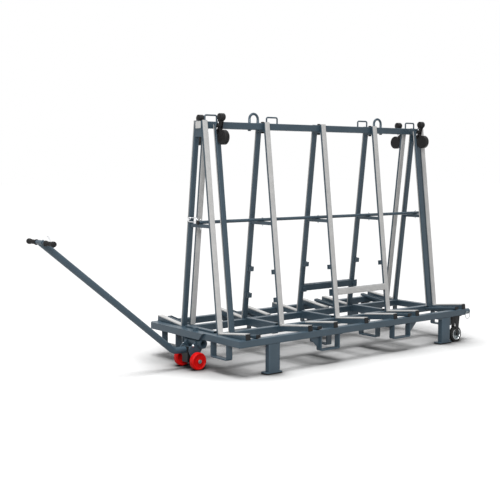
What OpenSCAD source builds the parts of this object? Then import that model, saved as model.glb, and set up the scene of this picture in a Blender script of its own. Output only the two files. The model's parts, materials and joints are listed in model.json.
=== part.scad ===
// A-frame cart for glass, board and slab: a low welded base on four legs, five leaning
// post pairs with rubber strips, four sliding clamp bars with strap ratchets, two fixed
// wheels at the right end and a lever dolly with a drawbar at the left end.
// X runs along the cart, the dolly is at the low X end, Y is the depth and Z is up.

/* [Base frame] */
// Length of the base, from the left end rail to the right end rail
base_l = 2390; // [2000:10:3000]
// Width of the base over the side rails
base_w = 1100; // [900:10:1300]
// Height of the rails' undersides over the floor
rail_z = 215; // [190:1:260]
// Side of the square base tubes
rail_s = 50; // [40:1:60]
// Wall of the base tubes
rail_wall = 3; // [2:0.5:5]
// Outer corner radius of the rolled square tubes
tube_round = 5; // [2:0.5:7]
// Distance between the middles of the two inner rails
inner_gauge = 400; // [360:5:460]
// Height of the cross sills over the rails' tops
sill_rise = 12; // [6:1:20]
// How far the hitch beam's back end stops short of the base's back side
hitch_beam_short = 28; // [0:1:60]
// Thickness of the beam in front of the left end rail
hitch_beam_t = 22; // [15:1:30]
// How far the hitch beam reaches past the middle line, to the front
hitch_beam_over = 100; // [60:5:200]

/* [Legs] */
// Width of a leg along the cart
leg_w = 100; // [60:1:120]
// Depth of a leg across the cart
leg_d = 45; // [30:1:50]
// Distance from the left end to the middle of the left legs
leg_left_x = 312; // [260:1:420]
// Distance from the right end to the middle of the right legs
leg_right_in = 245; // [220:5:400]
// How far a leg's foot plate stands out at each side
leg_plate_over = 20; // [10:1:30]
// Thickness of a leg's foot plate
leg_plate_t = 8; // [5:1:12]
// Thickness of the rubber pad under a leg
leg_pad_t = 8; // [4:1:15]
// Length of the flat tab at the top of a right leg, on its inner side
leg_tab = 38; // [20:1:60]

/* [Fork pockets] */
// Clear width of a fork pocket
pocket_clear = 172; // [150:1:190]
// Width of the flat bar that the pockets' hoops are bent from
hoop_w = 50; // [40:1:50]
// Thickness of that flat bar
hoop_t = 10; // [6:1:12]
// Outer bend radius of a hoop's lower corners
hoop_bend = 13; // [12:1:20]
// Height from the floor to a hoop's underside
pocket_z = 107; // [60:1:130]
// Distance from the left end to the middle of the first side pocket
side_pocket_1_x = 848; // [750:1:900]
// Distance from the right end to the middle of the second side pocket
side_pocket_2_in = 770; // [700:1:850]
// Distance from the base's side to the middle of an end pocket
end_pocket_in = 240; // [220:1:260]
// Width of the triangular gussets beside the side pockets
gusset_w = 95; // [50:1:110]
// Height of the gussets
gusset_h = 92; // [50:1:94]
// Thickness of the gussets
gusset_t = 8; // [5:1:12]

/* [Post frames] */
// Distance from the left end to the middle of the first posts
first_post_x = 78; // [74:1:110]
// Lean of the posts, which is also the rise of the foot beams
lean = 6.75; // [4:0.25:9]
// Length of a post, along its lean
post_l = 1513; // [1200:1:1700]
// Width of a post along the cart
post_w = 40; // [36:1:50]
// Depth of a post
post_d = 20; // [18:1:25]
// Wall of a post
post_wall = 2.5; // [2:0.5:4]
// Thickness of the rubber strips
strip_t = 10; // [6:1:14]
// Rounding of a strip's long edges
strip_round = 3; // [1:0.5:4]
// Diameter of the ribs along a strip's face
strip_rib = 4; // [2:0.5:5]
// Ribs on a strip's face
strip_ribs = 3; // [2:1:4]
// Height of a foot beam
foot_h = 40; // [30:1:45]
// Thickness of the caps on the foot beams' ends
cap_t = 5; // [3:1:8]
// Distance of the middle foot beams from the middle posts
mid_foot_x = 320; // [280:5:360]

/* [Top rail] */
// Width of the top rail, which sets how far apart the posts stand
top_w = 59; // [54:1:70]
// Height of the top rail
top_h = 50; // [40:1:70]
// Distance from the posts' tops down to the rail's top
top_drop = 8; // [4:1:20]
// Height of the tie blocks under the rail at the two end posts
end_tie_h = 60; // [30:1:80]
// Height of the seat bars under the rail at the other posts
seat_bar_h = 12; // [8:1:20]
// Thickness of the caps on the rail's ends
rail_cap_t = 4; // [3:1:8]
// How far the caps stand out around the rail
rail_cap_over = 1; // [1:0.5:3]

/* [Lifting eyes and staples] */
// Thickness of the lifting eyes' round bar
eye_rod = 20; // [12:1:22]
// Width over a lifting eye
eye_w = 100; // [80:1:130]
// Height of a lifting eye over the rail
eye_h = 78; // [60:1:110]
// Distance of a lifting eye from the middle of the post beside it
eye_beside = 87; // [85:1:140]
// Thickness of the strap staples' round bar
staple_rod = 12; // [8:1:14]
// Width over a staple
staple_w = 116; // [80:1:140]
// Height of a staple over the rail
staple_h = 52; // [40:1:70]
// Bend radius of a staple's corners
staple_bend = 12; // [9:1:20]

/* [Middle tie] */
// Diameter of the long tie rod
tie_d = 25; // [18:1:32]
// Height of the tie rod's underside over the floor
tie_z = 1034; // [800:1:1200]
// Side of the square cross ties under the tie rod
cross_s = 25; // [20:1:35]
// Diameter of the knob on the tie rod's left end
knob_d = 32; // [30:1:50]
// Length of that knob
knob_l = 15; // [12:1:30]
// How far the tie rod stands out at its right end
tie_over = 18; // [5:1:30]

/* [Bolts] */
// Diameter of the top rail's bolts
bolt_d = 12; // [8:1:16]
// Height of their heads and nuts
bolt_head = 12; // [6:1:14]
// Width of their heads and nuts over the flats
bolt_across = 23; // [17:1:26]
// Diameter of the tie rod's bolts
tie_bolt_d = 8; // [5:1:10]
// Height of their heads and nuts
tie_bolt_head = 5; // [3:1:7]
// Width of their heads and nuts over the flats
tie_bolt_across = 13; // [11:1:17]
// How far the tie rod's bolts stand out of their nuts
tie_bolt_over = 8; // [2:1:14]

/* [Hook lugs and slats] */
// Height of the lower lugs over the strip corner, along the post
lug_low = 166; // [120:1:220]
// Height of the upper lugs over the strip corner, along the post
lug_high = 376; // [300:1:450]
// Height of a lug
lug_h = 36; // [30:1:45]
// How far a lug stands out
lug_out = 32; // [28:1:40]
// Width of a lug's slot
lug_slot = 10; // [8:0.5:12]
// Depth of a lug's slot
lug_slot_deep = 32; // [24:1:33]
// Height of a slat
slat_h = 50; // [40:1:60]
// Thickness of the slat's hanging bar
slat_bar_t = 8; // [6:0.5:9]
// How far the hanging bar reaches past the posts
slat_bar_over = 10; // [4:1:30]

/* [Clamp bars] */
// Length of a clamp bar, along its lean
bar_l = 1490; // [1200:1:1600]
// Width of a clamp bar
bar_w = 40; // [36:1:50]
// Depth of a clamp bar
bar_d = 20; // [18:1:25]
// Distance from the middle of a clamp bar to the middle of the post beside it
bar_beside = 90; // [86:1:110]
// Height of a clamp bar's foot over its channel
bar_clear = 10; // [5:1:20]
// Width of the slide channels
guide_w = 40; // [36:1:50]
// Height of the slide channels
guide_h = 22; // [20:1:26]
// Wall of the slide channels
guide_wall = 2.5; // [2:0.5:4]
// Width of the slot in a slide channel
guide_slot = 18; // [14:1:24]
// Length of the slider inside its channel
slider_l = 50; // [40:1:70]

/* [Strap ratchets] */
// Diameter of the strap reel's housing
reel_d = 106; // [80:1:110]
// Width of the strap reel
reel_w = 36; // [30:1:40]
// Gap between a clamp bar's outer face and its strap reel
reel_off = 4; // [3:1:10]
// Distance from a clamp bar's top down to the reel's middle
reel_under = 101; // [80:1:200]
// Inner width between the ratchet's cheeks
ratchet_w = 28; // [26:1:32]
// Height of the ratchet's spool over the reel's middle
spool_over = 68; // [66:1:80]
// Diameter of the ratchet's spool
spool_d = 18; // [14:1:20]
// Length of the ratchet handle, from the spool to its grip
handle_l = 84; // [70:1:110]
// Lean of the resting handle, outward from its bar
handle_lean = 24; // [10:1:30]
// Diameter of the handle's grip
grip_d = 48; // [30:1:54]
// Thickness of the ratchet's steel plates
ratchet_t = 3; // [2:0.5:4]

/* [Fixed wheels] */
// Diameter of the fixed wheels
caster_d = 125; // [100:1:160]
// Width of the fixed wheels' tyres
caster_w = 34; // [25:1:40]
// Distance from the right end to the fixed wheels' axle
caster_in = 98; // [90:1:120]
// Diameter of the fixed wheels' axle bolt
caster_axle_d = 12; // [8:1:16]
// Height of the axle bolt's head and nut
caster_nut = 5; // [4:0.5:8]
// Length of the fixed wheels' mounting plates
caster_plate_l = 96; // [84:1:110]
// Thickness of the fork's plates
fork_t = 4; // [3:0.5:6]
// Thickness of the tyre's tread
tread_t = 16; // [8:1:24]

/* [Lever dolly] */
// Diameter of the dolly's wheels
wheel_d = 125; // [100:1:160]
// Width of the dolly's wheels
wheel_w = 44; // [30:1:60]
// Distance between the middles of the dolly's wheels
wheel_gauge = 199; // [180:1:240]
// Distance of the dolly's axle beyond the base's left end
axle_out = 25; // [10:1:80]
// Diameter of the dolly's axle
axle_d = 20; // [15:1:25]
// Diameter of the cross barrel that carries the end rail
saddle_d = 70; // [60:1:80]
// Length over the cross barrel and its collars
saddle_l = 190; // [160:1:220]
// Diameter of the barrel's journals, which the lever turns on
journal_d = 54; // [44:1:56]
// Diameter of the king pin
king_d = 30; // [20:1:34]
// Thickness of the dolly's side plates
plate_t = 8; // [6:1:12]
// Distance between the middles of the side plates
plate_gauge = 110; // [90:1:120]
// Diameter of the drawbar tube
draw_d = 48; // [38:1:54]
// Slope of the drawbar over the floor
draw_slope = 39.2; // [20:0.1:60]
// Height of the drawbar's level part over the floor
draw_low_z = 138; // [120:1:150]
// Distance from the base's left end to the drawbar's bend
draw_bend_out = 168; // [150:1:240]
// Bend radius of the drawbar
draw_bend_r = 60; // [50:1:120]
// Length of the drawbar's sloping part
draw_l = 1304.4; // [800:0.1:1500]
// Wall of the drawbar tube
draw_wall = 3; // [2:0.5:5]
// Length over the drawbar's cross handle
handle_w = 370; // [250:1:450]
// Diameter of the cross handle's tube
handle_d = 26; // [20:1:34]
// Diameter of the rubber grips
rubber_grip_d = 38; // [30:1:44]
// Length of a rubber grip
rubber_grip_l = 122; // [90:1:150]
// Length of the sleeve that holds the cross handle
sleeve_l = 70; // [50:1:100]
// Wall of that sleeve
sleeve_wall = 4; // [3:0.5:6]
// Reach of the release lever along the drawbar
release_l = 70; // [50:1:100]
// Rise of the release lever over its pin
release_rise = 27; // [20:1:35]
// Thickness of the release lever
release_t = 10; // [6:1:14]
// Diameter of the release lever's pin
release_pin = 6; // [5:1:8]

/* [Tow stub] */
// Diameter of the tow stub
stub_d = 46; // [36:1:48]
// Length of the tow stub beyond the base
stub_l = 62; // [40:1:90]
// Wall of the tow stub
stub_wall = 4; // [3:0.5:6]
// Thickness of the collar round the stub's root
collar_t = 2; // [1.5:0.5:3]
// Distance from the base's right end to the middle of the lynch pin
lynch_out = 14; // [12:1:20]
// Diameter of the lynch pin
lynch_d = 10; // [6:1:12]

/* [Hidden] */
$fn = 48;
// Overrun of every cut past the face it leaves
cut = 1;
// Free play around parts that are lifted or slid by hand
play = 1;
// Gap between faces that pass each other
gap = 0.4;
// Radial play of every turning pin in its bore
run_play = 0.05;

half_w = base_w / 2;
rail_top = rail_z + rail_s;
inner_y = inner_gauge / 2;
inner_face = inner_y - rail_s / 2;
corner_z = rail_top + strip_t;
station_n = 5;
last_x = base_l - post_w / 2;
pitch = (last_x - first_post_x) / (station_n - 1);
mid_x = first_post_x + 2 * pitch;
stations = [for (i = [0:station_n - 1]) first_post_x + i * pitch];
mid_feet = [mid_x - mid_foot_x, mid_x + mid_foot_x];
foot_xs = concat(stations, mid_feet);
// Places of the clamp bars and their channels, inward from the end and next-to-end posts
guide_xs = [stations[0] + bar_beside, stations[1] + bar_beside,
            stations[3] - bar_beside, stations[4] - bar_beside];
// Distance from the middle line to the corner where post and foot strips meet. The top rail
// just fits between the posts' inner faces
corner_y = top_w / 2 + gap + (strip_t + post_d) / cos(lean) + (post_l * cos(lean) - top_drop) * tan(lean);
// Length of a foot beam, from the strip corner to the inside of its end cap
foot_l = (half_w - corner_y - (strip_t + foot_h) * sin(lean)) / cos(lean) - cap_t;

top_z = corner_z + post_l * cos(lean) - top_drop;
top_under = top_z - top_h;
top_x0 = stations[0] - post_w / 2;
top_x1 = stations[4] + post_w / 2;
eye_xs = [stations[1] - eye_beside, stations[3] + eye_beside];
leg_xs = [leg_left_x, base_l - leg_right_in];
// Places of the side pockets from the left end, and of the end pockets from the middle line
side_pocket_xs = [side_pocket_1_x, base_l - side_pocket_2_in];
end_pocket_y = half_w - end_pocket_in;
hoop_half = pocket_clear / 2 + hoop_t;

// The channels lie on the side rails' inner edges
guide_bottom = -strip_t * cos(lean) - (half_w - rail_s - corner_y) * sin(lean);
guide_top = guide_bottom + guide_h;
bar_bottom = guide_top + bar_clear;
bar_top = bar_bottom + bar_l;
reel_up = bar_top - reel_under;
reel_out = bar_d + reel_off + reel_d / 2;
spool_up = reel_up + spool_over;
spool_out = bar_d + ratchet_t + spool_d * 3 / 4;
caster_x = base_l - caster_in;
caster_y = half_w - caster_w / 2 - 2 * play - fork_t - caster_nut;

axle_x = -axle_out;
axle_z = wheel_d / 2;
saddle_x = rail_s / 2;
saddle_z = rail_z - saddle_d / 2 - gap;
draw_x0 = -draw_bend_out;
draw_back = draw_d * 5 / 8;
draw_start = axle_x - axle_d - draw_back / 2;
bend_tan = draw_bend_r * tan(draw_slope / 2);
// The elbow is a thinner tube set into both straight tubes, this much at each side
elbow_step = 1;
elbow_lap = 2;
head_x = draw_x0 - draw_l * cos(draw_slope);
head_z = draw_low_z + draw_l * sin(draw_slope);
// The origin is under the middle of the whole cart, drawbar and stub counted
low_x = head_x - rubber_grip_d / 2;
high_x = base_l + stub_l;
origin_x = (low_x + high_x) / 2;

steel = [0.28, 0.33, 0.37];
strip_grey = [0.80, 0.80, 0.79];
black = [0.09, 0.09, 0.10];
zinc = [0.70, 0.72, 0.74];
red = [0.86, 0.08, 0.07];

// Sides of a bolt's head
hexagon = 6;

// Moves the cart from its left end to the origin
module placed() { translate([-origin_x, 0, 0]) children(); }

// A flat outline with rounded corners, around the middle
module rounded(w, h, r) {
    square([w - 2 * r, h], center = true);
    square([w, h - 2 * r], center = true);
    for (a = [-1, 1], b = [-1, 1]) translate([a * (w / 2 - r), b * (h / 2 - r)]) circle(r);
}

// A rolled square or flat tube around the middle, open along one axis (0, 1 or 2)
module box_tube(size, wall, axis) {
    w = axis == 0 ? size[1] : size[0];
    h = axis == 2 ? size[1] : size[2];
    turn = [[90, 0, 90], [90, 0, 0], [0, 0, 0]][axis];
    rotate(turn) difference() {
        linear_extrude(size[axis], center = true) rounded(w, h, tube_round);
        linear_extrude(size[axis] + 2 * cut, center = true)
            square([w - 2 * wall, h - 2 * wall], center = true);
    }
}

// A rail lying along X with both ends mitred, its long face on y = 0
module mitred_rail(l) {
    intersection() {
        translate([l / 2, rail_s / 2, rail_s / 2]) box_tube([l, rail_s, rail_s], rail_wall, 0);
        linear_extrude(rail_s) polygon([[0, 0], [l, 0], [l - rail_s, rail_s], [rail_s, rail_s]]);
    }
}

// The leaning frame of one side: local Z runs up the posts, local -Y out along the feet,
// and the origin is the corner where the two rubber strips meet. side is -1 for the front
// and 1 for the back. The back is the front mirrored.
module leaning(side, x) {
    translate([x, 0, 0]) mirror([0, side > 0 ? 1 : 0, 0])
        translate([0, -corner_y, corner_z]) rotate([-lean, 0, 0]) children();
}

// The same frame turned about the upright axis for the back, so right stays right
module leaning_turned(side, x) {
    translate([x, 0, 0]) rotate([0, 0, side > 0 ? 180 : 0])
        translate([0, -corner_y, corner_z]) rotate([-lean, 0, 0]) children();
}

// A rubber strip of length l along Z, its back on y = t, with rounded edges and ribs on its face
module strip(w, t, l) {
    base = strip_rib / 4;
    rib_pitch = (w - 2 * strip_round) / (strip_ribs + 1);
    linear_extrude(l) union() {
        translate([-w / 2, base + strip_round]) square([w, t - strip_round - base]);
        translate([-w / 2 + strip_round, base]) square([w - 2 * strip_round, t - base]);
        for (s = [-1, 1]) translate([s * (w / 2 - strip_round), base + strip_round])
            circle(strip_round);
        for (i = [1:strip_ribs]) translate([i * rib_pitch - w / 2 + strip_round, strip_rib / 2])
            circle(d = strip_rib);
    }
}

// A round bar bent to a U: legs of length down below the bend's middle
module bent_bow(rod, w, bend, up, down) {
    reach = w / 2 - rod / 2 - bend;
    thin = rod - elbow_step;
    for (s = [-1, 1]) {
        translate([s * (w / 2 - rod / 2), 0, -down]) cylinder(d = rod, h = down + up - bend - rod / 2);
        if (reach > 0) translate([s * reach, 0, up - bend - rod / 2]) rotate([90, 0, 0])
            rotate([0, 0, s > 0 ? 0 : 90]) rotate_extrude(angle = 90) translate([bend, 0]) circle(d = rod);
    }
    if (reach <= 0) translate([0, 0, up - bend - rod / 2]) rotate([90, 0, 0])
        rotate([0, 0, -elbow_lap]) rotate_extrude(angle = 180 + 2 * elbow_lap)
            translate([bend, 0]) circle(d = thin);
    if (reach > 0) translate([-reach, 0, up - rod / 2]) rotate([0, 90, 0]) cylinder(d = rod, h = 2 * reach);
}

// Base rails
module side_rails() {
    color(steel) placed() for (side = [-1, 1]) mirror([0, side > 0 ? 1 : 0, 0])
        translate([0, -half_w, rail_z]) mitred_rail(base_l);
}

// The left end rail has a sleeve for the king pin and carries the hitch beam
module end_rails() {
    color(steel) placed() {
        difference() {
            union() {
                translate([0, half_w, rail_z]) rotate([0, 0, -90]) mitred_rail(base_w);
                translate([saddle_x, 0, rail_z]) cylinder(d = king_d + 2 * rail_wall + 2 * play, h = rail_s);
            }
            translate([saddle_x, 0, rail_z - cut]) cylinder(r = king_d / 2 + run_play, h = rail_s + 2 * cut);
        }
        hitch_beam();
        translate([base_l, -half_w, rail_z]) rotate([0, 0, 90]) mitred_rail(base_w);
    }
}

// A flat tube before the left end rail, cut slanting at its front end
module hitch_beam() {
    back = half_w - hitch_beam_short;
    difference() {
        translate([0, 0, rail_z]) rotate([90, 0, -90]) linear_extrude(hitch_beam_t)
            polygon([[-back, 0], [hitch_beam_over, 0], [hitch_beam_over + rail_s, rail_s], [-back, rail_s]]);
        translate([-hitch_beam_t / 2, (back - hitch_beam_over) / 2, rail_z + rail_s / 2])
            cube([hitch_beam_t - 2 * rail_wall, back + hitch_beam_over - 2 * rail_s,
                  rail_s - 2 * rail_wall], center = true);
    }
}

module inner_rails() {
    l = base_l - 2 * rail_s;
    color(steel) placed() for (s = [-1, 1])
        translate([base_l / 2, s * inner_y, rail_z + rail_s / 2])
            box_tube([l, rail_s, rail_s], rail_wall, 0);
}

// Cross sills between the inner rails, at every post pair but the last, which has the end rail
module cross_sills() {
    h = rail_s + sill_rise;
    color(steel) placed() for (i = [0:station_n - 2])
        translate([stations[i], 0, rail_z + h / 2])
            box_tube([post_w, 2 * inner_face, h], rail_wall, 1);
}

// Legs
module legs() {
    plate = [leg_w + 2 * leg_plate_over, leg_d + leg_plate_over, leg_plate_t];
    tube_z = leg_pad_t + leg_plate_t;
    color(steel) placed() for (x = leg_xs, s = [-1, 1]) mirror([0, s > 0 ? 1 : 0, 0]) {
        translate([x, -half_w + leg_d / 2, (tube_z + rail_z) / 2])
            box_tube([leg_w, leg_d, rail_z - tube_z], rail_wall, 2);
        translate([x - plate[0] / 2, -half_w, leg_pad_t]) cube(plate);
        if (x > mid_x) translate([x - leg_w / 2 - leg_tab, -half_w, rail_z - leg_plate_t])
            cube([leg_tab, leg_d, leg_plate_t]);
    }
}

module leg_pads() {
    pad = [leg_w + 2 * leg_plate_over, leg_d + leg_plate_over, leg_pad_t];
    color(black) placed() for (x = leg_xs, s = [-1, 1]) mirror([0, s > 0 ? 1 : 0, 0])
        translate([x - pad[0] / 2, -half_w, 0]) cube(pad);
}

// A filled outline from low up to top, with rounded corners below
module tub(half, low, top, r) {
    translate([-half, low + r]) square([2 * half, top - low - r]);
    translate([r - half, low]) square([2 * (half - r), top - low]);
    for (s = [-1, 1]) translate([s * (half - r), low + r]) circle(r);
}

// One fork pocket: a hoop of flat bar hung under a rail, its face on y = 0 and the forks
// running along Y
module fork_hoop(top) {
    translate([0, hoop_w, 0]) rotate([90, 0, 0]) linear_extrude(hoop_w) difference() {
        tub(hoop_half, pocket_z, top, hoop_bend);
        tub(pocket_clear / 2, pocket_z + hoop_t, top + cut, hoop_bend - hoop_t);
    }
}

// A triangular gusset beside a side pocket, growing to side s
module pocket_gusset(s) {
    translate([s * hoop_half, (hoop_w + gusset_t) / 2, rail_z]) rotate([90, 0, 0])
        linear_extrude(gusset_t) polygon([[0, 0], [s * gusset_w, 0], [0, -gusset_h]]);
}

// A hoop further in, that guides forks put in from the ends. It hangs on a flat strap that
// runs from the side rail to the inner rail
module inner_hoop() {
    from = half_w - rail_s / 2 - end_pocket_y;
    to = end_pocket_y - inner_y;
    fork_hoop(rail_z - hoop_t);
    translate([-from, 0, rail_z - hoop_t]) cube([from + to, hoop_w, hoop_t]);
}

module fork_pockets() {
    color(steel) placed() for (side = [-1, 1]) mirror([0, side > 0 ? 1 : 0, 0]) {
        for (i = [0, 1]) translate([side_pocket_xs[i], -half_w, 0]) {
            fork_hoop(rail_z);
            pocket_gusset(i == 0 ? -1 : 1);
        }
        translate([0, -end_pocket_y, 0]) rotate([0, 0, -90]) fork_hoop(rail_z);
        translate([base_l, -end_pocket_y, 0]) rotate([0, 0, 90]) fork_hoop(rail_z);
        for (x = [side_pocket_xs[0] + hoop_half + play + hoop_w, side_pocket_xs[1] - hoop_half - play])
            translate([x, -end_pocket_y, 0]) rotate([0, 0, 90]) inner_hoop();
    }
}

// Posts, cut level where they stand on the inner rail
module post(side, x, with_lugs) {
    difference() {
        leaning(side, x) {
            translate([0, strip_t + post_d / 2, (post_l - foot_h) / 2])
                box_tube([post_w, post_d, post_l + foot_h], post_wall, 2);
            if (with_lugs) for (z = [lug_low, lug_high]) translate([0, strip_t + post_d, z]) lug();
        }
        translate([x - post_w, -half_w, 0]) cube([2 * post_w, base_w, rail_top]);
    }
}

// A lug on a post's inner face, with a slot for a hanging bar
module lug() {
    wall = (lug_out - lug_slot) / 2;
    difference() {
        translate([-post_w / 2, 0, 0]) cube([post_w, lug_out, lug_h]);
        translate([-post_w / 2 - cut, wall, lug_h - lug_slot_deep])
            cube([post_w + 2 * cut, lug_slot, lug_slot_deep + cut]);
    }
}

module posts(side) {
    color(steel) placed() for (i = [0:station_n - 1])
        post(side, stations[i], i > 0 && i < station_n - 1);
}

// Foot beams, notched over the side rails and butted to the inner rails
module foot_beam(side, x) {
    difference() {
        leaning(side, x) translate([0, -foot_l / 2 + post_d / 2, -strip_t - foot_h / 2])
            box_tube([post_w, foot_l + post_d, foot_h], post_wall, 1);
        rail_space(x, post_w);
    }
}

// The room that the side rails and inner rails take under a foot beam or a channel
module rail_space(x, w) {
    translate([x - w, -half_w - cut, 0]) cube([2 * w, rail_s + cut, rail_top]);
    translate([x - w, half_w - rail_s, 0]) cube([2 * w, rail_s + cut, rail_top]);
    translate([x - w, -inner_y - rail_s / 2, 0]) cube([2 * w, inner_gauge + rail_s, corner_z + post_w]);
    if (x + w / 2 > base_l - rail_s) translate([x - w, -half_w, 0]) cube([2 * w, base_w, rail_top]);
}

module foot_beams() {
    color(steel) placed() for (side = [-1, 1], x = foot_xs) foot_beam(side, x);
}

// Strips on the posts, and strips on the feet that run in under them
module rubber_strips() {
    color(strip_grey) placed() for (side = [-1, 1]) {
        for (x = stations) leaning(side, x) translate([0, 0, gap]) strip(post_w, strip_t, post_l - gap);
        for (x = foot_xs) difference() {
            leaning(side, x) translate([0, strip_t, 0]) rotate([90, 0, 0]) mirror([0, 1, 0])
                strip(post_w, strip_t, foot_l + strip_t);
            rail_space(x, post_w);
        }
    }
}

// Plastic caps in the ends of the foot beams and channels, and the knob on the tie rod
module end_caps() {
    color(black) placed() {
        for (side = [-1, 1], x = foot_xs) difference() {
            leaning(side, x) translate([-post_w / 2, -foot_l - cap_t, -strip_t - foot_h])
                cube([post_w, cap_t, foot_h + strip_t / 2]);
            rail_space(x, post_w);
        }
        for (side = [-1, 1], x = guide_xs) leaning(side, x)
            translate([-guide_w / 2, -foot_l - cap_t, guide_bottom]) cube([guide_w, cap_t, guide_h]);
        translate([top_x0 - knob_l, 0, tie_z + tie_d / 2]) rotate([0, 90, 0]) tie_knob();
    }
}

module tie_knob() {
    edge = knob_d / 10;
    rotate_extrude() polygon([[0, 0], [knob_d / 2 - edge, 0], [knob_d / 2, edge],
                              [knob_d / 2, knob_l - 2 * edge], [knob_d / 3, knob_l], [0, knob_l]]);
}

// Slotted channels that the clamp bars slide in
module bar_guide(side, x) {
    l = foot_l + post_d;
    slot = [guide_slot, l + 2 * cut, 2 * guide_wall + cut];
    difference() {
        leaning(side, x) translate([0, (post_d - foot_l) / 2, (guide_top + guide_bottom) / 2]) {
            difference() {
                box_tube([guide_w, l, guide_h], guide_wall, 1);
                translate([0, 0, guide_h / 2]) cube(slot, center = true);
            }
        }
        rail_space(x, guide_w);
    }
}

module bar_guides() {
    color(steel) placed() for (side = [-1, 1], x = guide_xs) bar_guide(side, x);
}

// Top rail with its caps, eyes and staples
module top_rail() {
    l = top_x1 - top_x0;
    color(steel) placed() difference() {
        translate([(top_x0 + top_x1) / 2, 0, top_under + top_h / 2])
            box_tube([l, top_w, top_h], rail_wall, 0);
        for (x = eye_xs, s = [-1, 1]) translate([x + s * (eye_w - eye_rod) / 2, 0, top_under - cut])
            cylinder(d = eye_rod + gap, h = top_h + 2 * cut);
        for (i = [1:station_n - 2]) translate([stations[i], 0, top_under - cut])
            cylinder(d = bolt_d + gap, h = top_h + 2 * cut);
    }
}

// A rounded plate with a plug that fits into the rail
module rail_cap() {
    corner = 2 * rail_cap_over;
    plug = [top_w - 2 * rail_wall - 2 * gap, top_h - 2 * rail_wall - 2 * gap];
    rotate([0, -90, 0]) linear_extrude(rail_cap_t) union() {
        square([top_h, top_w + 2 * rail_cap_over - 2 * corner], center = true);
        square([top_h - 2 * corner, top_w + 2 * rail_cap_over], center = true);
        for (a = [-1, 1], b = [-1, 1])
            translate([a * (top_h / 2 - corner), b * (top_w / 2 + rail_cap_over - corner)]) circle(corner);
    }
    translate([0, -plug[0] / 2, -plug[1] / 2]) cube([3 * rail_cap_t, plug[0], plug[1]]);
}

module rail_end_caps() {
    color(strip_grey) placed() translate([0, 0, top_under + top_h / 2]) {
        translate([top_x0, 0, 0]) rail_cap();
        translate([top_x1, 0, 0]) mirror([1, 0, 0]) rail_cap();
    }
}

module hex_head(across, h) { cylinder(d = across / cos(30), h = h, $fn = hexagon); }

// A bolt along Z through what lies from z0 up to z1, with a nut at both ends and its shaft
// standing out of them
module through_bolt(d, across, head, z0, z1, over) {
    translate([0, 0, z0 - head]) hex_head(across, head);
    translate([0, 0, z0 - head - over]) cylinder(d = d, h = z1 - z0 + 2 * (head + over));
    translate([0, 0, z1]) hex_head(across, head);
}

module lifting_eyes() {
    color(steel) placed() for (x = eye_xs) translate([x, 0, top_z]) {
        bent_bow(eye_rod, eye_w, (eye_w - eye_rod) / 2, eye_h, top_h + 2 * bolt_head);
        for (s = [-1, 1]) translate([s * (eye_w - eye_rod) / 2, 0, -top_h - bolt_head])
            hex_head(eye_rod * 3 / 2, bolt_head);
    }
}

module strap_staples() {
    color(steel) placed() for (x = guide_xs) translate([x, 0, top_z])
        bent_bow(staple_rod, staple_w, staple_bend, staple_h, 0);
}

// Half the room between the posts' inner faces at height z
function between(z) = corner_y - (z - corner_z) * tan(lean) - (strip_t + post_d) / cos(lean);

// A piece with slanting ends that fits between two posts from z0 to z1
module between_posts(w, z0, z1) {
    rotate([90, 0, 90]) translate([0, 0, -w / 2]) linear_extrude(w)
        polygon([[-between(z0), z0], [between(z0), z0], [between(z1), z1], [-between(z1), z1]]);
}

// Tie blocks under the top rail and square ties at the middle of the posts
module frame_ties() {
    color(steel) placed() for (i = [0:station_n - 1]) translate([stations[i], 0, 0]) {
        at_end = i == 0 || i == station_n - 1;
        h = at_end ? end_tie_h : seat_bar_h;
        difference() {
            between_posts(post_w, top_under - h, top_under);
            if (!at_end) translate([0, 0, top_under - h - cut]) cylinder(d = bolt_d + gap, h = h + 2 * cut);
        }
        difference() {
            between_posts(cross_s, tie_z - cross_s, tie_z);
            translate([0, 0, tie_z - cross_s - cut]) cylinder(d = tie_bolt_d + gap, h = cross_s + 2 * cut);
        }
    }
}

module frame_bolts() {
    color(zinc) placed() for (i = [0:station_n - 1]) translate([stations[i], 0, 0]) {
        if (i > 0 && i < station_n - 1)
            through_bolt(bolt_d, bolt_across, bolt_head, top_under - seat_bar_h, top_z, 0);
        through_bolt(tie_bolt_d, tie_bolt_across, tie_bolt_head, tie_z - cross_s, tie_z + tie_d,
                     tie_bolt_over);
    }
}

// The long rod on the middle ties, drilled at every post pair
module tie_rod() {
    color(steel) placed() difference() {
        translate([top_x0, 0, tie_z + tie_d / 2]) rotate([0, 90, 0])
            cylinder(d = tie_d, h = top_x1 - top_x0 + tie_over);
        for (x = stations) translate([x, 0, tie_z - cut])
            cylinder(d = tie_bolt_d + gap, h = tie_d + 2 * cut);
    }
}

// Slats that hang on the lower lugs between the third and fourth posts
slat_x = (stations[2] + stations[3]) / 2;
slat_face = pitch - post_w - 4 * play;
slat_z = lug_low + lug_h - lug_slot_deep;

module slat(side) {
    bar_l = pitch + post_w + 2 * slat_bar_over;
    bar_y = strip_t + post_d + (lug_out - slat_bar_t) / 2;
    color(steel) placed() leaning(side, slat_x) {
        translate([-bar_l / 2, bar_y, slat_z]) cube([bar_l, slat_bar_t, slat_h]);
        translate([0, strip_t + post_d / 2, slat_z + slat_h / 2])
            box_tube([slat_face, post_d, slat_h], post_wall, 0);
        for (s = [-1, 1]) translate([s * slat_face / 4 - post_w / 2, strip_t + post_d, slat_z])
            cube([post_w, bar_y - strip_t - post_d, slat_h]);
    }
}

module slat_strip(side) {
    color(strip_grey) placed() leaning(side, slat_x)
        translate([-slat_face / 2, 0, slat_z + slat_h / 2]) rotate([0, 90, 0])
            strip(slat_h, strip_t, slat_face);
}

// Clamp bars. right is the bar's place: each bar stands inward from its post
module at_bar(side, x) { placed() leaning_turned(side, x) children(); }

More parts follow.
